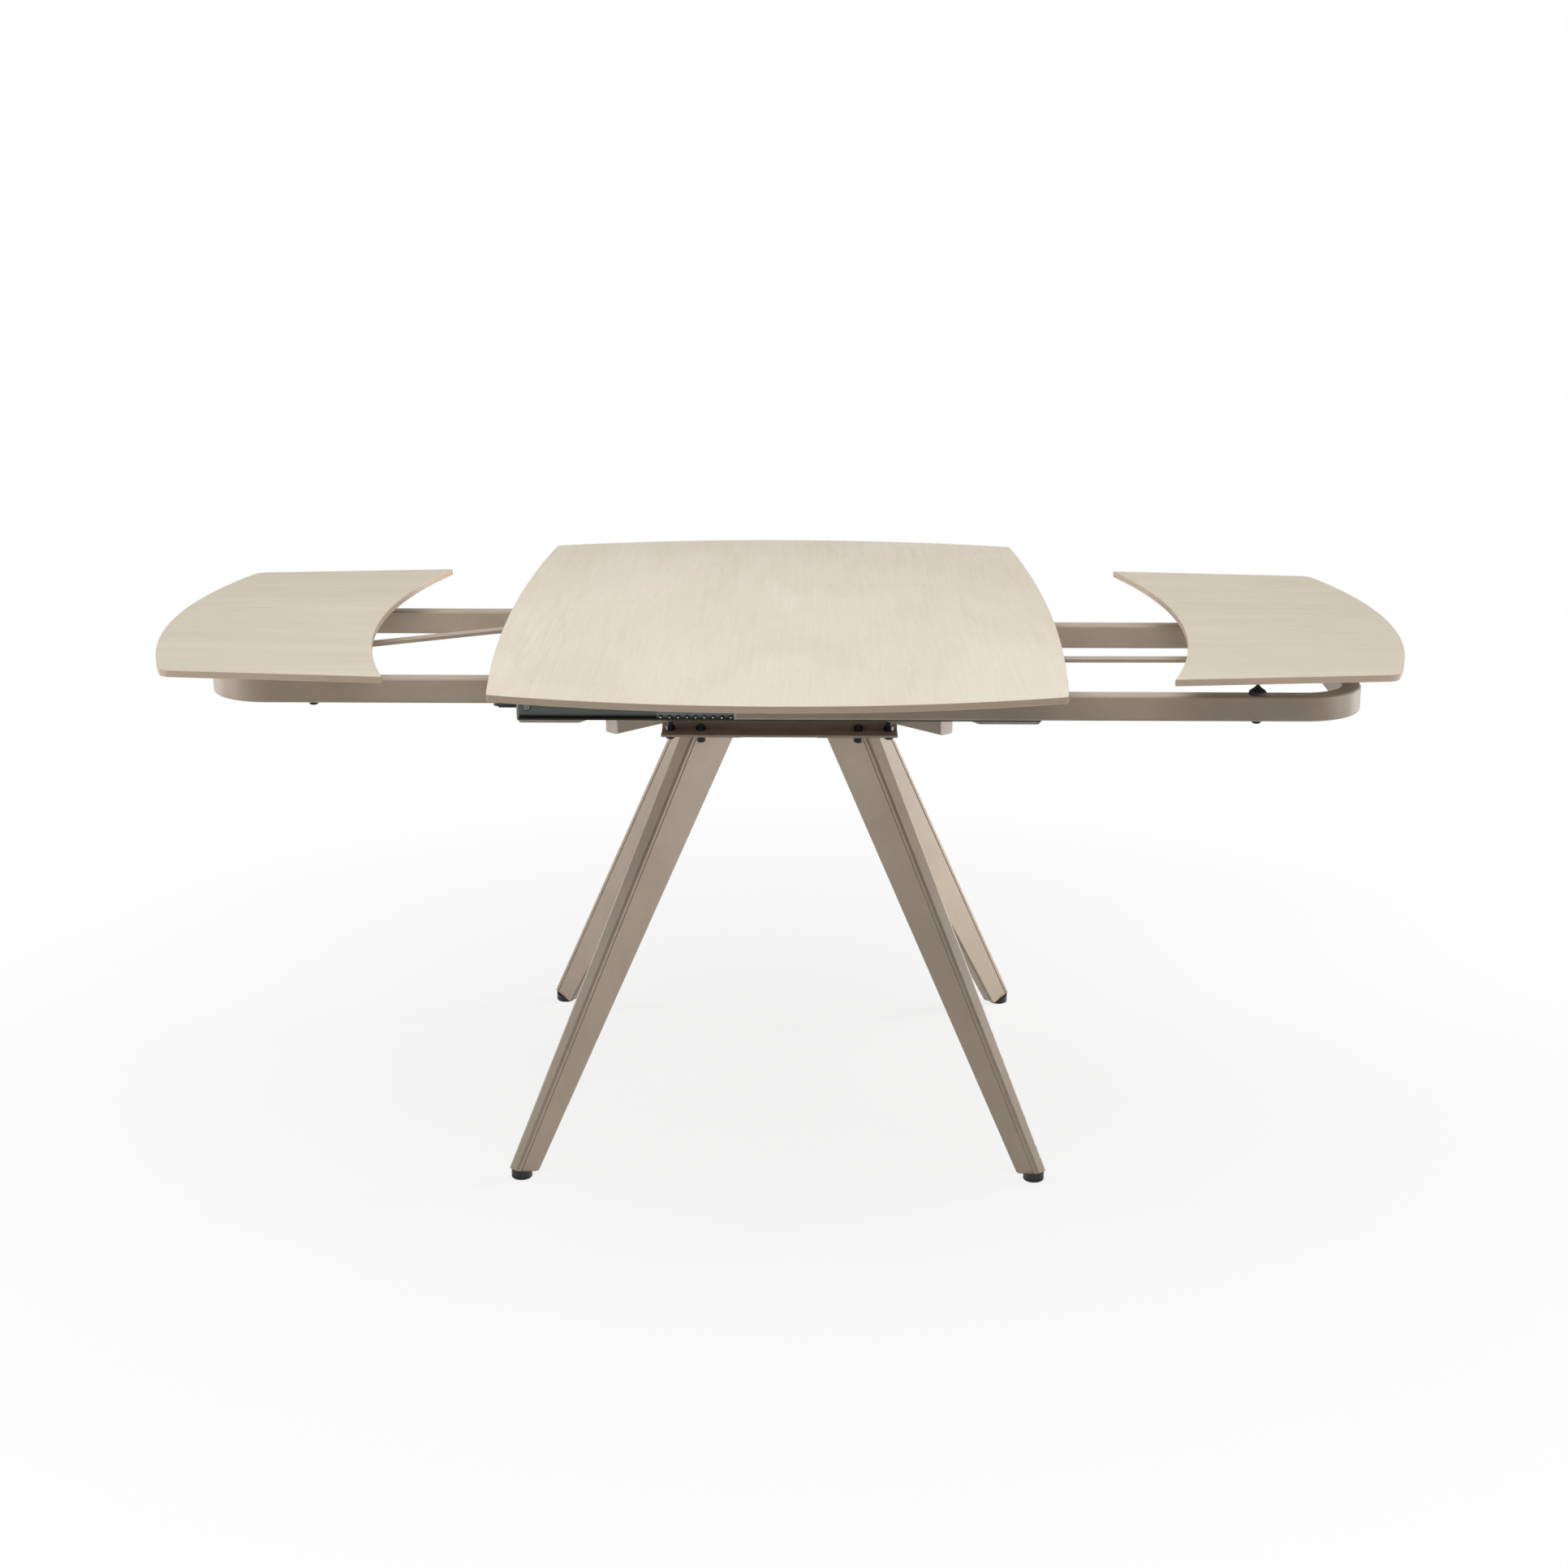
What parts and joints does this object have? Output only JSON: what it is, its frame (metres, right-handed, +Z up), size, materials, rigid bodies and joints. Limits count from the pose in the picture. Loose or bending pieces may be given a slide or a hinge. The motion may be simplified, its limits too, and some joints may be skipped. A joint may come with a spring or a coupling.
{
  "type": "extending table",
  "caption": "Extending dining table on splayed legs: a turning bow-edged top pushes hollow-edged leaves out on sliding bent-tube frames through crank links.",
  "frame": {"origin": "on the floor, under the middle of the table", "axes": "+X towards the right leaf, -Y towards the viewer of the picture, +Z up"},
  "size_m": [1.8314, 1.186, 0.76],
  "materials": {
    "top_board": "pale bleached-oak laminate, satin, fine grain along its length",
    "leaf_board": "pale bleached-oak laminate, satin, fine grain across the table",
    "paint": "satin taupe powder coat",
    "zinc": "dull zinc plating",
    "ball_steel": "polished steel",
    "black_plastic": "matte black moulding",
    "black_bolt": "black oxide",
    "pale_plastic": "pale nylon"
  },
  "bodies": {
    "base": {"leg_front_left": "paint", "leg_front_right": "paint", "leg_rear_left": "paint", "leg_rear_right": "paint", "leg_head_plates": "paint", "front_channel": "paint", "rear_channel": "paint", "cross_arm_long": "paint", "cross_arm_rear_left": "paint", "cross_arm_front_right": "paint", "cross_arm_caps": "paint", "front_beam": "paint", "rear_beam": "paint", "beam_end_shoes": "pale_plastic", "right_outer_slide_channel": "zinc", "right_inner_slide_channel": "zinc", "left_outer_slide_channel": "zinc", "left_inner_slide_channel": "zinc", "top_glides": "pale_plastic", "turntable_pedestal": "paint", "turntable_lower_race": "zinc", "arm_bolts": "black_bolt", "leg_bolts": "black_bolt", "foot_front_left": "black_plastic", "foot_front_right": "black_plastic", "foot_rear_left": "black_plastic", "foot_rear_right": "black_plastic"},
    "ball_cage": {"turntable_ball_cage": "black_plastic", "turntable_balls": "ball_steel"},
    "top": {"table_top": "top_board", "crank_plate": "zinc", "crank_pins": "zinc", "crank_screws": "zinc", "turntable_upper_race": "zinc"},
    "right_frame": {"right_frame_tube": "paint", "right_leaf": "leaf_board", "right_leaf_supports": "black_plastic", "right_support_bolts": "black_bolt", "right_slide_runners": "zinc", "right_link_bracket": "paint", "right_link_pin": "zinc", "right_tube_plugs": "pale_plastic", "right_rail_stops": "black_plastic"},
    "left_frame": {"left_frame_tube": "paint", "left_leaf": "leaf_board", "left_leaf_supports": "black_plastic", "left_support_bolts": "black_bolt", "left_slide_runners": "zinc", "left_link_bracket": "paint", "left_link_pin": "zinc", "left_tube_plugs": "pale_plastic", "left_rail_stops": "black_plastic"},
    "right_link": {"right_link": "paint"},
    "left_link": {"left_link": "paint"},
    "right_slide_cages": {"right_slide_cages": "zinc"},
    "left_slide_cages": {"left_slide_cages": "zinc"}
  },
  "joints": [
    {"name": "turntable_turn", "type": "hinge", "parent": "base", "child": "ball_cage", "pos_m": [0, 0, 0.727], "axis": [0, 0, 1], "range_deg": [-90, 0]},
    {"name": "top_turn", "type": "hinge", "parent": "ball_cage", "child": "top", "pos_m": [0, 0, 0.727], "axis": [0, 0, 1], "range_deg": [0, 90]},
    {"name": "right_frame_slide", "type": "slide", "parent": "base", "child": "right_frame", "axis": [1, 0, 0], "range_m": [-0.3285, 0]},
    {"name": "right_cage_slide", "type": "slide", "parent": "base", "child": "right_slide_cages", "axis": [1, 0, 0], "range_m": [-0.1645, 0]},
    {"name": "right_link_swing", "type": "hinge", "parent": "right_frame", "child": "right_link", "pos_m": [0.793, 0, 0.69], "axis": [0, 0, 1], "range_deg": [-29.3, 0]},
    {"name": "left_frame_slide", "type": "slide", "parent": "base", "child": "left_frame", "axis": [-1, 0, 0], "range_m": [-0.3285, 0]},
    {"name": "left_cage_slide", "type": "slide", "parent": "base", "child": "left_slide_cages", "axis": [-1, 0, 0], "range_m": [-0.1645, 0]},
    {"name": "left_link_swing", "type": "hinge", "parent": "left_frame", "child": "left_link", "pos_m": [-0.793, 0, 0.69], "axis": [0, 0, 1], "range_deg": [-29.3, 0]}
  ],
  "couplings": [
    {"joint": "right_frame_slide", "follows": "turntable_turn", "m_per_rad": 0.20887},
    {"joint": "right_cage_slide", "follows": "turntable_turn", "m_per_rad": 0.10444},
    {"joint": "right_link_swing", "follows": "top_turn", "ratio": -0.32486},
    {"joint": "left_frame_slide", "follows": "turntable_turn", "m_per_rad": 0.20887},
    {"joint": "left_cage_slide", "follows": "turntable_turn", "m_per_rad": 0.10444},
    {"joint": "left_link_swing", "follows": "top_turn", "ratio": -0.32486}
  ]
}
